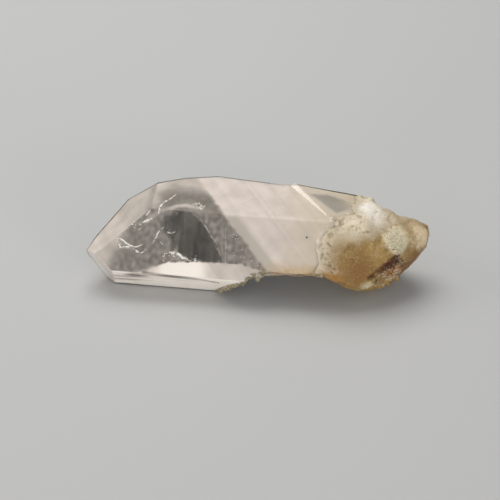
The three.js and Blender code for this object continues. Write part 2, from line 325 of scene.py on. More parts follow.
def points(*pairs):
    return [Vector(pair) for pair in pairs]


def gap(place, line):
    """The distance from a place to a line of points, on paper or in space."""
    best = 1e9
    for a, b in zip(line, line[1:]):
        step = b - a
        share = min(1, max(0, (place - a).dot(step) / step.length_squared))
        best = min(best, (place - a - step * share).length)
    return best


def outside(place, outline):
    """The distance to a closed outline on paper, negative inside it."""
    crossed = False
    for a, b in zip(outline, outline[1:] + outline[:1]):
        if (a.y > place.y) != (b.y > place.y):
            crossed ^= place.x < a.x + (place.y - a.y) / (b.y - a.y) * (b.x - a.x)
    distance = gap(place, outline + outline[:1])
    return -distance if crossed else distance


# %% Lines on the paper, in millimetres
ARCH = points((-34.2, 9.3), (-32.2, 6.7), (-30.2, 4.3), (-27.5, 1.8), (-24.2, -0.2), (-22.2, -1.7),
              (-19.9, -2.2), (-17.7, -2.0), (-15.5, -1.4), (-12.6, -0.6), (-10.1, 0.4))
WINDOW = points((-25.4, 3.6), (-22.6, 1.4), (-19.1, 0.4), (-16.4, 1.7), (-14.3, 3.8), (-12.4, 6.5),
                (-10.4, 9.8), (-9.6, 13.5), (-17.0, 14.3), (-20.8, 12.2), (-22.6, 9.4), (-23.4, 7.2),
                (-25.0, 6.4))
WINDOW_FLOOR = points((-40.0, 18.3), (-33.0, 17.6), (-29.7, 16.7), (-26.9, 15.8), (-23.3, 14.6),
                      (-18.7, 14.2), (-9.0, 13.7), (-3.6, 13.6), (-1.3, 14.4), (3.0, 15.0))
DARK_SEAM = points((-30.0, 18.2), (-28.2, 18.3), (-21.4, 18.8), (-13.2, 19.3), (-9.7, 20.4))
GREY_FACET = points((12.5, -11.5), (18.0, -12.2), (26.0, -10.2), (24.5, -6.2), (20.8, -3.4))

# %% [markdown]
# ## The milky core
#
# Most of the shaft isn't clear. Tiny bubbles make it white, and the white starts a little
# below the surface, so the face keeps its gloss while the depth looks soft. A core that is
# offset inwards gives exactly that. It could be a true scattering volume, but a surface with
# an alpha of its own renders in seconds and keeps its drawing when the model is exported.
#
# Two attributes tell the material what to draw. Veil says how milky a place is, and white how
# bright the milk is there; its top, in the lower strips, is partly painted glow. Both are full
# behind a slanting plane, an old face of the crystal from before its last growth. In front of
# it the crystal is hazy, with a dark clear window.

# %% Offset the model inwards
CORE_VOXEL = 0.42 * MM
CORE_DEPTH = 0.34 * MM
CORE_SMOOTHINGS = 6


def even_copy(name, voxel):
    """The model as a mesh of even small faces, in a new piece whose mesh is still to be filled."""
    piece = keep(name, merged_copy())
    remesh = piece.modifiers.new("remesh", "REMESH")
    remesh.mode = "VOXEL"
    remesh.voxel_size = voxel
    evaluated = piece.evaluated_get(bpy.context.evaluated_depsgraph_get())
    bm = bmesh.new()
    bm.from_mesh(evaluated.to_mesh())
    piece.modifiers.clear()
    bm.normal_update()
    return piece, bm


core, bm = even_copy("milky_core", CORE_VOXEL)
for v in bm.verts:
    v.co -= v.normal * (CORE_DEPTH + SHELL_ROOM * MM * under_shell(v.co / MM))
for _ in range(CORE_SMOOTHINGS):
    bmesh.ops.smooth_vert(bm, verts=bm.verts, factor=0.5, use_axis_x=True, use_axis_y=True,
                          use_axis_z=True)
bm.normal_update()
print("the core has", len(bm.faces), "faces")

# %% The old face that the milk starts at
OLD_FACE = [mm(-9.9, -5.0, 23.8), mm(2.5, -12.2, 11.9), mm(-17.0, 7.5, 23.8)]
old_normal = (OLD_FACE[1] - OLD_FACE[0]).cross(OLD_FACE[2] - OLD_FACE[0]).normalized()
if old_normal.x < 0:
    old_normal.negate()


def haze_on_top(place, cloud):
    """Veil and white under the top face of the clear end."""
    rim = between(-place.y, 6 + 2 * cloud, 12)
    near_tip = between(-place.x, 24.5, 29)
    veil = 0.6 + 0.12 * cloud + 0.3 * rim + 0.3 * near_tip
    return veil, 0.16 + 0.1 * cloud + 0.2 * rim + 0.12 * near_tip


def haze_on_front(place, cloud):
    """Veil and white under the front face of the clear end: haze, window, and a strip that is whiter milk
    with painted glow.
    """
    strands = noise.noise(Vector((place.x * 1.3, place.y * 0.22, 5)))
    strands *= between(place.x, -25, -20) * (1 - 0.75 * between(place.x, -13.5, -9))
    mottle = noise.noise(Vector((place.x * 0.9, place.y * 0.7, 9)))
    edge = outside(place, WINDOW) + 0.9 * mottle
    veil = 0.15 + 0.12 * strands + (0.39 + 0.16 * mottle) * between(edge, -0.6, 1.0)
    veil += 0.2 * max(0, strands) * between(place.y, 11.5, 13.5) * between(place.x, -21, -19)
    white = 0.27 + 0.1 * strands + 0.14 * mottle
    wedge = 1 - between((place - Vector((-1.2, 12.6))).length, 1.6, 3.2)
    veil, white = veil + 0.16 * wedge, white + 0.04 * wedge
    tip = between(-place.x - 0.5 * max(0, place.y - 9), 29 + 2 * cloud, 38)
    soft = 0.35 + 1.4 * between(-place.x, 24, 29)
    strip = between(place.y - floor_down(place.x) + 0.3 * mottle + 0.4 * strands, -soft, soft)
    seam = 1 - between(gap(place, DARK_SEAM), 0.2, 0.7)
    veil = max(veil, 0.85 * tip, 0.97 * strip) - 0.2 * seam
    # painted glow: the middle of the strip is whitened as if lit from inside the crystal
    painted_glow = between(place.x, -31, -24) * (1 - 0.85 * between(place.x, -16, -9))
    return veil, max(white, 0.36 * tip, strip * (0.38 + 0.58 * painted_glow)) - 0.35 * seam


def haze_on_lower_front(place, cloud):
    """Veil and white under the lower front face: streaks of whiter milk with painted glow along it, and a
    clear lens.
    """
    streak = noise.noise(Vector((place.x * 0.07, place.y * 1.5, 2)))
    lens = math.exp(-(((place.x + 32.3) / 3) ** 2) - ((place.y - 19.6) / 0.9) ** 2)
    seam = 1 - between(gap(place, DARK_SEAM), 0.2, 0.7)
    veil = (0.95 + 0.3 * streak) * (1 - 0.85 * lens) - 0.3 * seam
    foot = 0.4 * between(place.y, 20.8, 22) * between(place.x, -34, -26)
    return veil, 1 + 0.9 * min(0, streak + 0.1 + foot) - 0.4 * seam - 0.5 * lens


def floor_down(along):
    """How far down the front face the window ends."""
    for a, b in zip(WINDOW_FLOOR, WINDOW_FLOOR[1:]):
        if along <= b.x:
            return a.y + (b.y - a.y) * max(0, (along - a.x) / (b.x - a.x))
    return WINDOW_FLOOR[-1].y


def clear_end(p, normal):
    """Veil and white in the clear end, just under the face that is nearest."""
    name, facing = max(((name, normal.dot(n)) for name, n in FACES.items()), key=lambda f: f[1])
    cloud = noise.noise(p * 0.25)
    if name == "tip top":
        return 1 - 0.3 * between(p.x, -33, -28.5), 0.33 + 0.1 * cloud + 0.12 * between(-p.x, 36, 41)
    if name == "tip front":
        return 0.9, 0.5
    if name in ("top", "front", "lower front"):
        place = unroll(name, p)
        haze = {"top": haze_on_top, "front": haze_on_front, "lower front": haze_on_lower_front}[name]
        veil, white = haze(place, cloud)
        arch = 1 - between(gap(place, ARCH), 0.2, 1.9 + 0.5 * cloud)
        arch *= (1 - 0.8 * between(p.x, -16, -13)) * (0.6 + 0.4 * between(p.x, -33, -26))
        return max(veil, (0.8 + 0.3 * cloud) * arch), max(white, 0.42 * arch)
    drift = noise.noise(Vector((p.x * 0.5, p.y * 0.25, p.z * 0.25)))
    return (0.7 + 0.4 * drift, 0.34) if name != "under" else (0.1, 0.3)


# %% Write both attributes
# above BODY_WHITE the milk turns near white; in the lower strips that is partly painted glow
BODY_WHITE = 0.6  # how white the milky shaft is, where 1 is the bright lower strip
veil_layer = bm.verts.layers.float.new("veil")
white_layer = bm.verts.layers.float.new("white")
for v in bm.verts:
    p = v.co / MM
    deep = old_normal.dot(v.co - OLD_FACE[0]) / MM + 0.5 * noise.noise(p * 0.6)
    milk = between(deep, -0.9, 0.9)
    veil, white = (1, BODY_WHITE) if milk == 1 else clear_end(p, v.normal)
    if v.normal.z > 0.9:
        facet = outside(unroll("top", p), GREY_FACET)
        white -= 0.5 * (1 - between(facet, -1.2, 0.9))
    v[veil_layer] = min(1, max(0, veil + (1 - veil) * milk))
    v[white_layer] = min(1, max(0, white + (BODY_WHITE - white) * milk * (milk < 1)))
for face in bm.faces:
    face.smooth = True
bm.to_mesh(core.data)
bm.free()

# %% [markdown]
# ## Cracks and healed veils
#
# Inside the clear end there are cracks that have half healed. A crack is a thin curved film, and
# where it catches the light it shows as a bright stroke. They could be painted on the core,
# but then they would lie flat and stay put when the crystal turns. So each one is a narrow
# strip of mesh that dives into the crystal, and small flakes lie round the ends of some.

# %% Strips along lines on the paper
def smooth_line(line, step):
    """A line with rounded bends and a point every step."""
    ends = [line[0] * 2 - line[1], *line, line[-1] * 2 - line[-2]]
    made = []
    for a, b, c, d in zip(ends, ends[1:], ends[2:], ends[3:]):
        count = max(1, round((c - b).length / step))
        for i in range(count):
            t = i / count
            made.append(0.5 * (2 * b + (c - a) * t + (2 * a - 5 * b + 4 * c - d) * t * t
                               + (3 * b - a - 3 * c + d) * t ** 3))
    return made + [line[-1]]


def strip(bm, line, width, depth, dive):
    """A crack along a line: as wide as given, and dive millimetres deeper at its far side."""
    line = smooth_line(line, 0.4)
    rows = []
    for i, here in enumerate(line):
        before, after = line[max(0, i - 1)], line[min(len(line) - 1, i + 1)]
        way = (after - before).normalized()
        share = i / (len(line) - 1)
        uneven = 0.9 + 1.1 * noise.noise(Vector((here.x, here.y, width * 9)) * 1.1)
        half = 0.5 * width * uneven * math.sin(math.pi * (0.06 + 0.88 * share)) ** 0.7
        side = Vector((-way.y, way.x)) * half
        near, far = here - side, here + side
        rows.append([bm.verts.new(on_faces(near.x, near.y, depth)),
                     bm.verts.new(on_faces(far.x, far.y, depth + dive * uneven))])
    for (a, b), (c, d) in zip(rows, rows[1:]):
        bm.faces.new((a, b, d, c)).smooth = True


def flakes(bm, rng, line, spread, count, size):
    """Small bright flakes that lie round a line, each turned its own way."""
    for _ in range(count):
        here = rng.choice(smooth_line(line, 0.3))
        along, down = here.x + rng.gauss(0, spread), here.y + rng.gauss(0, spread)
        middle = on_faces(along, down, rng.uniform(0.12, 0.34))
        facing = Vector((rng.uniform(-1, 1), rng.uniform(-1, 1), rng.uniform(-1, 1)))
        turn = facing.to_track_quat("Z", "Y")
        reach = size * MM * rng.uniform(0.4, 1.2)
        corners = []
        for k in range(5):
            a = 2 * math.pi * (k + rng.uniform(-0.3, 0.3)) / 5
            corner = Vector((math.cos(a) * reach, math.sin(a) * reach * 0.5, 0))
            corners.append(bm.verts.new(middle + turn @ corner))
        bm.faces.new(corners)


# %% The cracks of the clear end
# Each is its line, its width, its depth and how much deeper its far side is, in millimetres.
CRACKS = [
    (points((-26.9, 1.7), (-26.2, -2.1), (-24.7, -4.2), (-23.1, -6.9)), 0.85, 0.22, 0.2),
    (points((-31.3, 4.4), (-28.5, 3.0)), 1.0, 0.22, 0.2),
    (points((-30.4, 2.6), (-29.2, 0.8)), 0.5, 0.22, 0.2),
    (points((-37.3, 10.5), (-36.4, 11.6), (-34.3, 11.4), (-31.1, 12.6), (-29.8, 11.4)), 0.75, 0.22, 0.2),
    (points((-37.3, 10.5), (-38.0, 9.7), (-36.9, 9.2), (-35.0, 10.4), (-32.7, 11.1), (-30.6, 10.3)),
     0.6, 0.22, 0.2),
    (points((-25.3, 5.0), (-26.9, 6.8), (-28.2, 9.8)), 0.7, 0.22, 0.4),
    (points((-24.4, 6.3), (-23.2, 6.6), (-22.1, 6.1)), 0.5, 0.22, 0.2),
    (points((-24.3, 12.2), (-22.3, 11.9), (-19.9, 12.9), (-17.6, 13.8)), 0.9, 0.22, 0.2),
    (points((-26.2, 9.0), (-25.0, 10.2), (-23.4, 9.6)), 0.5, 0.24, 0.4),
    (points((-19.0, 0.2), (-16.4, 1.7), (-14.3, 3.8), (-12.4, 6.5), (-10.5, 9.2), (-9.7, 11.5), (-9.6, 13.4)),
     0.5, 0.24, 0.8),
    (points((-8.8, 3.4), (-8.5, 7.3), (-8.1, 13.3)), 0.4, 0.24, 0.7),
    (points((-9.5, 5.2), (-9.4, 8.7), (-9.0, 12.2)), 0.3, 0.3, 0.6),
    (points((-33.8, 5.6), (-32.0, 6.4), (-31.0, 5.6)), 0.4, 0.24, 0.3),
]

# Each is the line that the flakes lie round, how far they stray from it, how many, and their size.
FLAKES = [
    (points((-17.6, -2.6), (-16.6, -3.0), (-15.6, -1.8)), 0.45, 70, 0.6),
    (points((-24.0, 12.6), (-17.0, 13.4)), 0.55, 70, 0.42),
    (points((-38.0, 9.8), (-36.4, 11.2), (-34.0, 11.0)), 0.35, 26, 0.36),
    (points((-33.5, 5.4), (-30.5, 3.6)), 0.8, 22, 0.34),
    (points((-7.4, 5.0), (-3.6, 12.0)), 1.0, 20, 0.24),
    (points((-2.8, 11.0), (1.0, 13.6)), 0.9, 16, 0.22),
]
LONE_SPECKS = [(-6.5, -5.8), (5.2, -7.3), (-1.7, -8.8), (0.9, -0.6), (-8.2, -10.7)]

FLAKE_SEED = 4
rng = random.Random(FLAKE_SEED)
bm = bmesh.new()
for line, width, depth, dive in CRACKS:
    strip(bm, line, width, depth, dive)
for line, spread, count, size in FLAKES:
    flakes(bm, rng, line, spread, count, size)
for along, down in LONE_SPECKS:
    flakes(bm, rng, points((along, down), (along + 0.2, down)), 0.05, 3, 0.26)
cracks = keep("cracks", bm)
print("the cracks have", len(cracks.data.polygons), "faces")

# %% [markdown]
# ## A dark grain
#
# One grain of another mineral was caught while the crystal grew. It lies just under the front
# face. A dot in the colour of the core would do from one side, but a small lump of its own is
# as quick to make and stays right from every side.

# %% The grain
GRAIN_PLACE = mm(13.3, -7.75, 19.6)
GRAIN_RADIUS = 0.26 * MM

bm = bmesh.new()
bmesh.ops.create_icosphere(bm, subdivisions=2, radius=GRAIN_RADIUS)
for v in bm.verts:
    v.co *= 1 + 0.4 * noise.noise(v.co / MM * 5)
    v.co += GRAIN_PLACE
inclusion = keep("dark_grain", bm)
print("the dark grain has", len(inclusion.data.polygons), "faces")

# %% [markdown]
# ## A deeper veil
#
# A veil is a sheet of tiny bubbles. This one starts under the arch and leans back into the
# crystal, so that the clear end isn't empty from the sides. It is a wavy grid of faces with
# an alpha that fades out along it, because a true cloud would cost far more time to render.

# %% The veil
VEIL_LEAN = Vector((0.25, 0.75, -0.6)) * 9 * MM
VEIL_ROWS = 14

bm = bmesh.new()
veil_layer = bm.verts.layers.float.new("veil")
white_layer = bm.verts.layers.float.new("white")
line = smooth_line(ARCH, 0.5)
grid = []
for i, here in enumerate(line):
    row = []
    for j in range(VEIL_ROWS):
        share = j / (VEIL_ROWS - 1)
        start = on_faces(here.x, here.y, 1.1)
        wave = 0.8 * noise.noise(Vector((here.x * 0.3, share * 3, 1))) * share
        vert = bm.verts.new(start + VEIL_LEAN * share + Vector((wave, wave, -wave)) * MM)
        fade = math.sin(math.pi * i / (len(line) - 1)) * (1 - share)
        vert[veil_layer] = 0.4 * fade
        vert[white_layer] = 0.5
        row.append(vert)
    grid.append(row)
for near, far in zip(grid, grid[1:]):
    for a, b, c, d in zip(near, near[1:], far[1:], far):
        bm.faces.new((a, b, c, d)).smooth = True
deep_veil = keep("deep_veil", bm)
print("the deeper veil has", len(deep_veil.data.polygons), "faces")

# %% [markdown]
# ## The stained root
#
# The root broke off its matrix. It is a mass of small intergrown crystals that iron has
# stained, so it hardly lets light through, and its surface is a jumble of tiny facets. It gets
# a shell of its own over the skin: every cell of a 3-D pattern tilts its own way, which is
# what broken and grown grains look like. Noise alone would give soft lumps instead.

# %% Places in space that carry grains, in millimetres
def route(*places):
    return [Vector(place) for place in places]


CRUST_BAND = route((-10.2, -9.8, 0.6), (-7.4, -11.7, 3.2), (-4.6, -12.9, 5.6), (-1.6, -13.3, 7.6),
                   (2.6, -13.0, 9.9))
CHIP_LINE = route((18.6, -3.5, 23.8), (20.2, -6.1, 22.4), (19.6, -8.7, 18.4), (18.0, -11.0, 14.6),
                  (21.6, -12.1, 12.4))
SPARKLING_PATCH = route((36.6, -4.0, 19.9), (37.4, -4.8, 18.4), (38.6, -5.7, 16.6))
LOWER_LIP = route((30.0, -9.8, 5.6), (32.5, -9.0, 5.8), (35.4, -7.5, 5.4), (38.6, -5.6, 8.0))
LAYER_KNOT = route((18.2, -3.0, 23.6), (19.8, -4.2, 23.5), (21.8, -5.2, 23.0))
SHOULDER_PITS = route((25.5, -6.6, 22.8), (28.0, -6.4, 22.2), (30.2, -6.0, 21.4))
GROOVE = route((31.8, -9.3, 8.6), (34.6, -8.9, 11.4), (38.4, -7.2, 14.0))
BLOCKS = route((34.6, -8.4, 8.4), (37.4, -7.2, 10.4), (40.4, -5.2, 11.6))

# Each is its line, its reach and its share of the full grain.
CHIPPED = [(CHIP_LINE, 1.7, 1), (LAYER_KNOT, 1.6, 1), (SHOULDER_PITS, 1.1, 0.9),
           (LOWER_LIP, 1.8, 0.9), (SPARKLING_PATCH, 3.2, 0.7)]
DRUSY = [(CRUST_BAND, 1.9, 1), (SPARKLING_PATCH, 2.9, 1), (BLOCKS, 1.8, 0.4), (LOWER_LIP, 1.6, 0.7),
         (CHIP_LINE, 1.2, 0.12)]


def graininess(p, places):
    """1 in the middle of the grainiest of these places, 0 outside them."""
    uneven = 1.1 * noise.noise(p * 0.7)
    return max(full * (1 - between(gap(p, line) + uneven, 0.4 * reach, reach))
               for line, reach, full in places)


# %% Take the root from an even copy and break it into facets
ROOT_VOXEL = 0.28 * MM
SHELL_HEIGHT = 0.2  # how far the shell lies over the model, in millimetres
RIM_HEIGHT = 0.09  # the same at the shell's own rim, where it fades out


def facets(p, size):
    """The height of a jumble of tilted facets, from -0.5 to 0.5."""
    near = noise.voronoi(p / size)[1][0]
    tilt = noise.noise_vector(near * 7.1) * 2.2
    return max(-0.5, min(0.5, (p / size - near).dot(tilt) + 0.5 * noise.noise(near * 3.3)))


root, bm = even_copy("stained_root", ROOT_VOXEL)
cover_layer = bm.verts.layers.float.new("cover")
grain_layer = bm.verts.layers.float.new("grain")
pit_layer = bm.verts.layers.float.new("pit")
cover = {v: p.x - root_start(p) for v, p in ((v, v.co / MM) for v in bm.verts)}
bmesh.ops.delete(bm, geom=[v for v in bm.verts if cover[v] < 0], context="VERTS")
moves = []
for v in bm.verts:
    p = v.co / MM
    grainy = graininess(p, CHIPPED)
    rough = 0.35 + 0.65 * between(noise.noise(p * 0.22 + Vector((3, 0, 0))), -0.1, 0.3)
    groove = 1 - between(gap(p, GROOVE), 0.5, 1.7)
    blocks = 1 - between(gap(p, BLOCKS), 1.4, 2.8)
    relief = (0.32 * rough + 0.2 * grainy) * facets(p, 2.4) + 0.5 * grainy * facets(p, 1.3)
    relief += 0.16 * rough * facets(p, 0.9) + 0.8 * blocks * facets(p, 1.7) - 0.42 * groove
    height = RIM_HEIGHT + (SHELL_HEIGHT + relief - RIM_HEIGHT) * between(cover[v], 0.8, 3.6)
    height = max(height, RIM_HEIGHT - (SHELL_ROOM - 0.1) * under_shell(p))
    moves.append(v.normal * height * MM)
    v[cover_layer] = cover[v]
    v[grain_layer] = max(grainy, blocks)
    # pit marks the hollows between facets, where the material paints shade
    v[pit_layer] = between(-relief, 0.03, 0.22)
for v, move in zip(bm.verts, moves):
    v.co += move
    v.co.z = max(v.co.z, 0.02 * MM)
for face in bm.faces:
    face.smooth = max(v[grain_layer] for v in face.verts) < 0.25
bm.to_mesh(root.data)
bm.free()
print("the root's shell has", len(root.data.polygons), "faces")

# %% [markdown]
# ## Small crystals
#
# Druse: about 1,700 tiny quartz points that grew last, on the root and where the waist begins.
# One point is modelled and Geometry Nodes scatters it over the grainy places, each copy
# turned and sized by chance with a fixed seed. Placing hundreds by hand would bring nothing.

# %% One small point
def small_point():
    """A six-sided prism with a pointed end, one millimetre wide, standing on the origin."""
    bm = bmesh.new()
    corners = [(0.5 * math.cos(k * math.pi / 3), 0.5 * math.sin(k * math.pi / 3)) for k in range(6)]
    rings = [[bm.verts.new(mm(x, y, height)) for x, y in corners] for height in (-0.4, 0.45)]
    tip = bm.verts.new(mm(0.06, 0.03, 1.0))
    for k in range(6):
        bm.faces.new((rings[0][k], rings[0][k - 5], rings[1][k - 5], rings[1][k]))
        bm.faces.new((rings[1][k], rings[1][k - 5], tip))
    return keep("small_point", bm)


# %% [markdown]
# The points grow on the grainy parts of the skin and of the root's shell. Scattering counts
# along the ground's faces, and splitting a mesh into triangles may leave them in another order
# from one run to the next. So the ground is first written anew from its sorted corners.

# %% Put faces in order
def in_order(bm, layer_name):
    """The same faces with one attribute, in an order that is the same each time."""
    def place(v):
        return tuple(round(c / MM, 4) for c in v.co)

    rings = []
    for face in bm.faces:
        ring = list(face.verts)
        first = min(range(len(ring)), key=lambda i: place(ring[i]))
        rings.append(ring[first:] + ring[:first])
    rings.sort(key=lambda ring: [place(v) for v in ring])
    ordered = bmesh.new()
    layer = ordered.verts.layers.float.new(layer_name)
    made = {v: ordered.verts.new(v.co) for v in sorted(bm.verts, key=place)}
    for v, copied in made.items():
        copied[layer] = v[bm.verts.layers.float[layer_name]]
    for ring in rings:
        ordered.faces.new([made[v] for v in ring])
    bm.free()
    return ordered


# %% The ground that they grow on
GRAINY = 0.05  # nothing grows where the ground's graininess is less
DRUSE_ABOVE = 0.5 * MM  # so that none of them reaches below the table

bm = bmesh.new()
bm.from_mesh(skin.data)
covered = [f for f in bm.faces if f.calc_area() > MM**2 or f.calc_center_median().x > 10 * MM]
bmesh.ops.delete(bm, geom=covered, context="FACES")
bm.from_mesh(root.data)
grain_layer = bm.verts.layers.float["grain"]
for v in bm.verts:
    v[grain_layer] = graininess(v.co / MM, DRUSY)
bare = [f for f in bm.faces if min(v[grain_layer] for v in f.verts) < GRAINY
        or min(v.co.z for v in f.verts) < DRUSE_ABOVE]
bmesh.ops.delete(bm, geom=bare, context="FACES")
druse = keep("druse", in_order(bm, "grain"))
print("the druse grows on", len(druse.data.polygons), "faces")

# %% Scatter them
grow = bpy.data.node_groups.new("druse", "GeometryNodeTree")
grow.interface.new_socket("Ground", in_out="INPUT", socket_type="NodeSocketGeometry")
for name, kind in (("Crystal", "NodeSocketObject"), ("Per Square Metre", "NodeSocketFloat"),
                   ("Smallest", "NodeSocketFloat"), ("Largest", "NodeSocketFloat"),
                   ("Seed", "NodeSocketInt"), ("Finish", "NodeSocketMaterial")):
    grow.interface.new_socket(name, in_out="INPUT", socket_type=kind)
grow.interface.new_socket("Crystals", in_out="OUTPUT", socket_type="NodeSocketGeometry")


def node(kind, settings=None, **links):
    """A geometry node with its settings and links."""
    made = grow.nodes.new(kind)
    for name, value in (settings or {}).items():
        setattr(made, name, value)
    for name, source in links.items():
        grow.links.new(source, made.inputs[name.replace("_", " ")])
    return made


given = node("NodeGroupInput").outputs
mask = node("GeometryNodeInputNamedAttribute", {"data_type": "FLOAT"})
mask.inputs["Name"].default_value = "grain"
density = node("ShaderNodeMath", {"operation": "MULTIPLY"})
grow.links.new(mask.outputs["Attribute"], density.inputs[0])
grow.links.new(given["Per Square Metre"], density.inputs[1])
spots = node("GeometryNodeDistributePointsOnFaces", Mesh=given["Ground"], Density=density.outputs[0],
             Seed=given["Seed"])
turn = node("FunctionNodeRandomValue", {"data_type": "FLOAT_VECTOR"}, Seed=given["Seed"])
turn.inputs["Min"].default_value = (-0.75, -0.75, 0)
turn.inputs["Max"].default_value = (0.75, 0.75, 6.28)
rotation = node("FunctionNodeRotateRotation", {"rotation_space": "LOCAL"},
                Rotation=spots.outputs["Rotation"])
grow.links.new(turn.outputs["Value"], rotation.inputs["Rotate By"])
size = node("FunctionNodeRandomValue", {"data_type": "FLOAT"}, Seed=given["Seed"])
grow.links.new(given["Smallest"], size.inputs[2])
grow.links.new(given["Largest"], size.inputs[3])
crystal = node("GeometryNodeObjectInfo", {"transform_space": "ORIGINAL"}, Object=given["Crystal"])
copies = node("GeometryNodeInstanceOnPoints", Points=spots.outputs["Points"],
              Instance=crystal.outputs["Geometry"], Rotation=rotation.outputs[0])
grow.links.new(size.outputs[1], copies.inputs["Scale"])
real = node("GeometryNodeRealizeInstances", Geometry=copies.outputs[0])
finish = node("GeometryNodeSetMaterial", Geometry=real.outputs[0], Material=given["Finish"])
node("NodeGroupOutput", Crystals=finish.outputs[0])

# %% [markdown]
# ## Materials
#
# Quartz is one mineral, but it looks like five here: clear, milky, cracked, stained and sugary.
# Each look is a node tree on Object coordinates or on the attributes written above, so no
# image is used and every side has its finish. Some of the colour is painted light: a highlight,
# shade in the pits and glints on the root, and a glow in the lower strips of the milk. The
# trees are built with a small class, because a line for each node reads better than four.

# %% Small helpers for node trees
class Nodes:
    """Adds nodes to a tree in a line each: the type, plain values, then links."""

    def __init__(self, tree):
        self.tree = tree

    def add(self, kind, settings=None, **inputs):
        node = self.tree.nodes.new(kind)
        for name, value in (settings or {}).items():
            setattr(node, name, value)
        for name, value in inputs.items():
            self.feed(node, name.replace("_", " "), value)
        return node

    def feed(self, node, name, value):
        """Links a socket, given by its name or its number, or sets its value."""
        if isinstance(value, bpy.types.NodeSocket):
            self.tree.links.new(value, node.inputs[name])
        else:
            node.inputs[name].default_value = value

    def place(self):
        return self.add("ShaderNodeTexCoord").outputs["Object"]

    def attribute(self, name):
        return self.add("ShaderNodeAttribute", {"attribute_name": name}).outputs["Fac"]

    def math(self, operation, *values):
        node = self.add("ShaderNodeMath", {"operation": operation})
        for i, value in enumerate(values):
            self.feed(node, i, value)
        return node.outputs[0]

    def ramp(self, value, low, high):
        """0 below low, 1 above high, smooth between."""
        node = self.add("ShaderNodeMapRange", {"interpolation_type": "SMOOTHSTEP"}, Value=value)
        node.inputs["From Min"].default_value = low
        node.inputs["From Max"].default_value = high
        return node.outputs["Result"]

    def blend(self, share, first, second, kind="MIX"):
        """From the first colour to the second as share rises from 0 to 1."""
        node = self.add("ShaderNodeMix", {"data_type": "RGBA", "blend_type": kind})
        for i, value in ((0, share), (6, first), (7, second)):
            self.feed(node, i, value)
        return node.outputs[2]

    def blend_value(self, share, first, second):
        """The same for plain values."""
        node = self.add("ShaderNodeMix", {"data_type": "FLOAT"})
        for i, value in ((0, share), (2, first), (3, second)):
            self.feed(node, i, value)
        return node.outputs[0]

    def noise(self, place, size, detail=3, rough=0.55):
        """Noise whose lumps are about size millimetres across."""
        node = self.add("ShaderNodeTexNoise", Vector=place, Detail=detail, Roughness=rough)
        node.inputs["Scale"].default_value = 1 / (size * MM)
        return node.outputs["Fac"]

    def layers(self, along, size, detail):
        """Noise that changes in one direction only, as growth layers do."""
        node = self.add("ShaderNodeTexNoise", {"noise_dimensions": "1D"}, W=along, Detail=detail)
        node.inputs["Scale"].default_value = 1 / (size * MM)
        return node.outputs["Fac"]

    def let_light_in(self, shader, weight, reach, scale):
        """Light that enters the surface and comes out near by."""
        shader.inputs["Subsurface Weight"].default_value = weight
        shader.inputs["Subsurface Radius"].default_value = reach
        shader.inputs["Subsurface Scale"].default_value = scale

    def finish(self, surface, volume=None):
        out = self.add("ShaderNodeOutputMaterial")
        self.feed(out, "Surface", surface.outputs[0])
        if volume:
            self.feed(out, "Volume", volume.outputs[0])


def material(name):
    made = bpy.data.materials.new(name)
    made.use_nodes = True
    made.node_tree.nodes.clear()
    return made, Nodes(made.node_tree)


# %% [markdown]
# Clear quartz is plain glass with quartz's own IOR, polished on the crystal's faces and dull
# where it broke. It has a grey absorption, because a clear crystal looks dark where it shows
# what lies behind it. Lamp rays pass it as a light tint, or the core would lie in its shadow.

# %% Clear quartz
QUARTZ_IOR = 1.544
POLISHED = 0.04
BROKEN = 0.3  # added to the roughness where the crystal broke

clear, n = material("clear quartz")
place = n.place()
roughness = n.attribute("roughness")
grain = n.noise(place, 0.5)
bump = n.add("ShaderNodeBump", Height=n.math("MULTIPLY", grain, roughness))
bump.inputs["Distance"].default_value = 0.15 * MM
bump.inputs["Strength"].default_value = 0.5
glass = n.add("ShaderNodeBsdfPrincipled", Base_Color=(0.97, 0.97, 0.965, 1), IOR=QUARTZ_IOR)
glass.inputs["Transmission Weight"].default_value = 1.0
n.feed(glass, "Roughness", n.math("MULTIPLY_ADD", roughness, BROKEN, POLISHED))
n.feed(glass, "Normal", bump.outputs["Normal"])
lets_light_in = n.add("ShaderNodeBsdfTransparent", Color=(0.72, 0.71, 0.7, 1))
lamp_ray = n.add("ShaderNodeLightPath").outputs["Is Shadow Ray"]
both = n.add("ShaderNodeMixShader")
for i, source in enumerate((lamp_ray, glass.outputs[0], lets_light_in.outputs[0])):
    n.feed(both, i, source)
smoke = n.add("ShaderNodeVolumeAbsorption", Color=(0.5, 0.478, 0.452, 1), Density=130.0)
n.finish(both, smoke)
skin.data.materials.append(clear)

# %% [markdown]
# The colours of the body change from place to place: cream and faintly pink along the shaft,
# with bands that run parallel to the old face, then tan, olive and brown down the root, where
# iron has stained it. The same group paints a highlight on the top of the root. The grains that
# grow on the root have the same stain, so it is a node group that both materials share.

# %% Group: the stain of the root, with a painted highlight
stain_and_highlight = bpy.data.node_groups.new("iron stain", "ShaderNodeTree")
stain_and_highlight.interface.new_socket("Place", in_out="INPUT", socket_type="NodeSocketVector")
stain_and_highlight.interface.new_socket("Starts At", in_out="INPUT", socket_type="NodeSocketFloat")
stain_and_highlight.interface.new_socket("Colour", in_out="OUTPUT", socket_type="NodeSocketColor")
stain_and_highlight.interface.new_socket("Amount", in_out="OUTPUT", socket_type="NodeSocketFloat")
g = Nodes(stain_and_highlight)
group_in = g.add("NodeGroupInput").outputs
group_out = g.add("NodeGroupOutput")
place = group_in["Place"]
along, across, height = g.add("ShaderNodeSeparateXYZ", Vector=place).outputs
wobble = g.math("MULTIPLY", g.math("SUBTRACT", g.noise(place, 7), 0.5), 12 * MM)


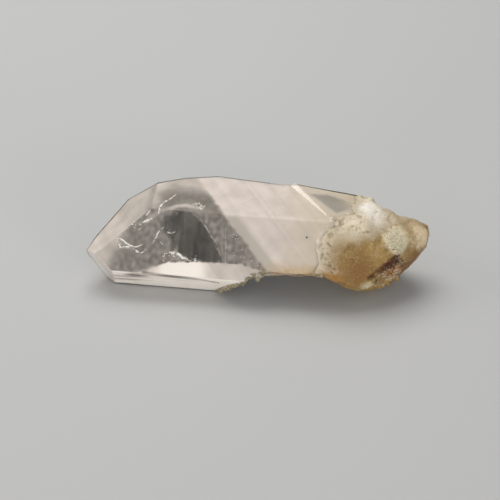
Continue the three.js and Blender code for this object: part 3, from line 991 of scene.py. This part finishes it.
def spot(middle, reach):
    """A soft round patch: 1 at its middle and 0 at its reach, both in millimetres."""
    away = g.add("ShaderNodeVectorMath", {"operation": "DISTANCE"})
    g.feed(away, 0, place)
    g.feed(away, 1, mm(*middle))
    uneven = g.math("MULTIPLY", wobble, min(1, reach / 5))
    return g.ramp(g.math("ADD", away.outputs["Value"], uneven), reach * MM, 0.25 * reach * MM)


# Each patch is its middle, its reach and its colour. A later patch covers an earlier one.
# The first patch is a painted highlight on the top of the root, not stain.
GROOVE_SPOTS = [(32, -9.3, 8.8), (33.4, -9.1, 10.2), (34.8, -8.8, 11.5), (36.4, -8.1, 12.7),
                (38, -7.4, 13.8)]
PATCHES = [
    # painted highlight: a near-white spot where the lamp above shines on the top of the root
    ((30.5, 2, 24), 7, colour(255, 247, 234)),
    ((28, -10, 12), 8, colour(142, 104, 54)),
    ((33, -8, 16), 5, colour(168, 136, 76)),
    ((38.2, -4.5, 18.6), 5, colour(226, 212, 178)),
    ((43, -2, 8), 7, colour(120, 78, 38)),
    ((20, -12, 10.5), 5, colour(162, 118, 60)),
    ((37, -8, 11), 5, colour(166, 122, 78)),
    *((middle, 2.1, colour(84, 42, 6)) for middle in GROOVE_SPOTS),
    ((31, -9.5, 6), 3, colour(206, 184, 148)),
    ((45.5, 0, 18), 5, colour(222, 202, 166)),
]

top = g.blend(g.noise(place, 2.5), colour(222, 209, 188), colour(198, 184, 154))
tan = g.blend(g.noise(place, 3), colour(168, 140, 88), colour(138, 106, 56))
down = g.ramp(g.math("ADD", height, g.math("MULTIPLY", wobble, 0.5)), 23.3 * MM, 17.4 * MM)
tone = g.blend(down, top, tan)
for middle, reach, look in PATCHES:
    tone = g.blend(spot(middle, reach), tone, look)
g.tree.links.new(tone, group_out.inputs["Colour"])
far = g.math("SUBTRACT", g.math("ADD", along, wobble), group_in["Starts At"])
low_edge = g.math("MULTIPLY", g.ramp(height, 13.5 * MM, 11 * MM), g.ramp(along, 12 * MM, 18 * MM))
amount = g.math("MAXIMUM", g.ramp(far, -3 * MM, 6 * MM), low_edge)
g.tree.links.new(amount, group_out.inputs["Amount"])


def stain_and_highlight_at(n, place, starts_at):
    """The root's colour, iron-stained and with a painted highlight, and its amount, in another material."""
    node = n.add("ShaderNodeGroup", {"node_tree": stain_and_highlight}, Place=place)
    node.inputs["Starts At"].default_value = starts_at * MM
    return node.outputs["Colour"], node.outputs["Amount"]


# %% [markdown]
# Milky quartz reads the core's two attributes: white picks the colour from grey haze over the
# pinkish milk to near white, which in the lower strips is partly painted glow, and veil sets
# the alpha. The growth layers are noise along a single direction, at right angles to the old
# face, so they run parallel to it on every side.

# %% Milky quartz: its colour
milky, n = material("milky quartz")
place = n.place()
along, across, height = n.add("ShaderNodeSeparateXYZ", Vector=place).outputs
veil = n.attribute("veil")
white = n.attribute("white")
depth = n.add("ShaderNodeVectorMath", {"operation": "DOT_PRODUCT"})
n.feed(depth, 0, place)
n.feed(depth, 1, old_normal)
behind = n.math("SUBTRACT", depth.outputs["Value"], old_normal.dot(OLD_FACE[0]))
clouds = n.math("MULTIPLY", n.noise(place, 5, detail=5), 0.55)
streaks = n.math("ADD", n.math("MULTIPLY", n.layers(behind, 2.6, 2.0), 0.45), clouds)
milk = n.blend(n.ramp(streaks, 0.32, 0.68), colour(204, 195, 187), colour(226, 216, 209))
grey_band = n.math("MULTIPLY", n.ramp(behind, -0.5 * MM, 0.6 * MM), n.ramp(behind, 3.2 * MM, 2.0 * MM))
grey_band = n.math("MULTIPLY", grey_band, n.ramp(height, 23.6 * MM, 22.4 * MM))
milk = n.blend(n.math("MULTIPLY", grey_band, 0.8), milk, colour(186, 179, 166))
haze = n.blend(n.noise(place, 2.5), colour(138, 131, 119), colour(166, 159, 147))
milk = n.blend(n.ramp(white, 0.0, BODY_WHITE), haze, milk)
# whiter milk and painted glow: white above BODY_WHITE turns the lower strips near white
milk = n.blend(n.ramp(white, BODY_WHITE, 1.0), milk, colour(252, 244, 236))
rust_and_highlight, rusty = stain_and_highlight_at(n, place, 23)
tone = n.blend(rusty, milk, rust_and_highlight)
warm = n.math("MULTIPLY", n.ramp(along, 2 * MM, 20 * MM), n.math("MULTIPLY", n.ramp(white, 0.2, 0.5), 0.7))
tone = n.blend(warm, tone, colour(203, 190, 165))
low = n.math("MULTIPLY", n.ramp(height, 14 * MM, 10.5 * MM), n.ramp(along, -2 * MM, 9 * MM))
speckle = n.ramp(n.noise(place, 1.2, detail=4), 0.35, 0.65)
low = n.math("MULTIPLY", low, n.math("MULTIPLY_ADD", speckle, 0.5, 0.5))
tone = n.blend(low, tone, colour(198, 170, 128))

# %% Milky quartz: how much it hides
uneven = n.math("MULTIPLY_ADD", n.noise(place, 1.4, detail=5), 0.5, 0.75)
alpha = n.math("MULTIPLY", veil, uneven)
alpha = n.blend_value(n.ramp(veil, 0.75, 0.95), alpha, 1.0)
nearby = n.math("MULTIPLY", n.ramp(behind, -3.6 * MM, -0.6 * MM), n.ramp(n.noise(place, 3), 0.35, 0.6))
echo = n.math("MULTIPLY", n.ramp(n.layers(behind, 0.45, 1.0), 0.5, 0.64), nearby)
alpha = n.math("MAXIMUM", alpha, n.math("MULTIPLY", echo, 0.55))
body = n.add("ShaderNodeBsdfPrincipled", Roughness=0.55, Base_Color=tone, Alpha=alpha)
n.let_light_in(body, 0.35, (1.0, 0.85, 0.7), 2.0 * MM)
n.finish(body)
core.data.materials.append(milky)
deep_veil.data.materials.append(milky)

# %% [markdown]
# A crack is an air film, nearly white, and broken into strokes where the film closes up again.
# The caught grain is dull and brown black.

# %% Cracks
bright, n = material("bright crack")
place = n.place()
film = n.ramp(n.noise(place, 0.9, detail=4), 0.36, 0.52)
crack = n.add("ShaderNodeBsdfPrincipled", Base_Color=colour(246, 242, 234), Roughness=0.35, Alpha=film)
crack.inputs["Specular IOR Level"].default_value = 0.8
n.finish(crack)
cracks.data.materials.append(bright)

# %% The dark grain
mineral, n = material("dark mineral")
place = n.place()
tone = n.blend(n.noise(place, 0.3), colour(38, 34, 30), colour(74, 62, 50))
speck = n.add("ShaderNodeBsdfPrincipled", Base_Color=tone, Roughness=0.4)
n.finish(speck)
inclusion.data.materials.append(mineral)

# %% [markdown]
# The stained shell needs three masks of its own, which its mesh carries: cover is how far a
# place lies behind the shell's rim, grain where it is chipped, and pit how deep it lies. The
# colour gets painted glints on the grain and painted shade, tinted like the stain, in the pits.
# Near the rim its colour turns to that of the shaft, and a crisp ragged line ends it. A soft rim
# would be half see-through, and the core would show under it as a dark hem.

# %% Stained root
RIM_HIDES = (1.2, 1.5)  # how far behind the rim the shell starts to hide and fully hides
ROOT_POLISH = 0.14

stained, n = material("stained quartz")
place = n.place()
cover = n.attribute("cover")
grain = n.attribute("grain")
pit = n.attribute("pit")
tone, amount = stain_and_highlight_at(n, place, 18.5)
milk = n.blend(n.noise(place, 2), colour(196, 182, 156), colour(214, 202, 180))
tone = n.blend(amount, milk, tone)
# painted glints: light spots in small cells of the grainy parts, where facets would catch the lamps
cells = n.add("ShaderNodeTexVoronoi", Vector=place)
cells.inputs["Scale"].default_value = 1 / (0.8 * MM)
painted_glint = n.ramp(cells.outputs["Distance"], 0.28, 0.1)
painted_glint_share = n.math("MULTIPLY", n.math("MULTIPLY", painted_glint, grain), 0.5)
tone = n.blend(painted_glint_share, tone, colour(236, 222, 196))
grime = n.ramp(n.noise(place, 0.9, detail=5, rough=0.65), 0.62, 0.72)
grimy = n.math("MULTIPLY", n.math("MULTIPLY", grime, grain), 0.5)
tone = n.blend(grimy, tone, colour(92, 66, 38))
tone = n.blend(n.math("MULTIPLY", n.ramp(cover, 4.5, 1.0), 0.75), tone, colour(199, 186, 162))
fine = n.noise(place, 0.5, detail=4)
light_specks = n.math("MULTIPLY", n.ramp(fine, 0.54, 0.7), n.math("MULTIPLY", amount, 0.35))
dark_specks = n.math("MULTIPLY", n.ramp(fine, 0.46, 0.32), n.math("MULTIPLY", amount, 0.3))
tone = n.blend(light_specks, tone, colour(216, 194, 152))
tone = n.blend(dark_specks, tone, colour(112, 84, 48))
# painted shade with a stain tint: the colour is darkened and turned olive in the hollows that pit marks
tone = n.blend(n.math("MULTIPLY", pit, 0.5), tone, colour(186, 172, 134), "MULTIPLY")
ragged = n.math("MULTIPLY", n.math("SUBTRACT", n.noise(place, 1.3, detail=5), 0.5), 2.6)
alpha = n.ramp(n.math("ADD", cover, ragged), *RIM_HIDES)
relief = n.add("ShaderNodeBump", Height=n.noise(place, 0.35, detail=3))
relief.inputs["Distance"].default_value = 0.12 * MM
relief.inputs["Strength"].default_value = 0.5
stone = n.add("ShaderNodeBsdfPrincipled", Base_Color=tone, Alpha=alpha)
n.feed(stone, "Roughness", n.math("MULTIPLY_ADD", n.noise(place, 1.5), 0.35, 0.2))
n.feed(stone, "Normal", relief.outputs["Normal"])
n.let_light_in(stone, 0.4, (1.0, 0.7, 0.45), 1.5 * MM)
stone.inputs["Specular IOR Level"].default_value = 0.3
n.feed(stone, "Coat Weight", n.math("MULTIPLY", n.ramp(pit, 1.0, 0.0), ROOT_POLISH))
stone.inputs["Coat Roughness"].default_value = 0.12
n.finish(stone)
root.data.materials.append(stained)

# %% [markdown]
# The small crystals are sugary: cream, a little glossy, and on the root they take its stain.

# %% Small crystals
sugar, n = material("small crystals")
place = n.place()
tone, amount = stain_and_highlight_at(n, place, 20)
crust = n.blend(n.noise(place, 1.5), colour(158, 146, 112), colour(186, 173, 140))
tone = n.blend(0.4, tone, colour(240, 232, 212))
tone = n.blend(amount, crust, tone)
tiny = n.add("ShaderNodeBsdfPrincipled", Base_Color=tone, Roughness=0.25)
tiny.inputs["Specular IOR Level"].default_value = 0.35
n.let_light_in(tiny, 0.4, (1.0, 0.85, 0.6), 0.5 * MM)
tiny.inputs["Coat Weight"].default_value = 0.12
n.finish(tiny)

# %% [markdown]
# ## Growing the druse
#
# The tree runs as a modifier with its values set first, and its result is kept as plain mesh.

# %% Run the tree and keep its mesh
DRUSE = {"Per Square Metre": 11.0e6, "Smallest": 0.12, "Largest": 0.38, "Seed": 3}
one = small_point()
growth = druse.modifiers.new("growth", "NODES")
growth.node_group = grow
sockets = {item.name: item.identifier for item in grow.interface.items_tree if item.in_out == "INPUT"}
growth[sockets["Crystal"]] = one
growth[sockets["Finish"]] = sugar
for name, value in DRUSE.items():
    growth[sockets[name]] = value
evaluated = druse.evaluated_get(bpy.context.evaluated_depsgraph_get())
grown = bpy.data.meshes.new_from_object(evaluated)
druse.modifiers.clear()
druse.data = grown
bpy.data.objects.remove(one)
print("the druse has", len(grown.polygons), "faces")

# %% Ride, replace and finish
for piece in (skin, core, deep_veil, cracks, inclusion, root, druse):
    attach(piece, "root")
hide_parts("quartz_point")
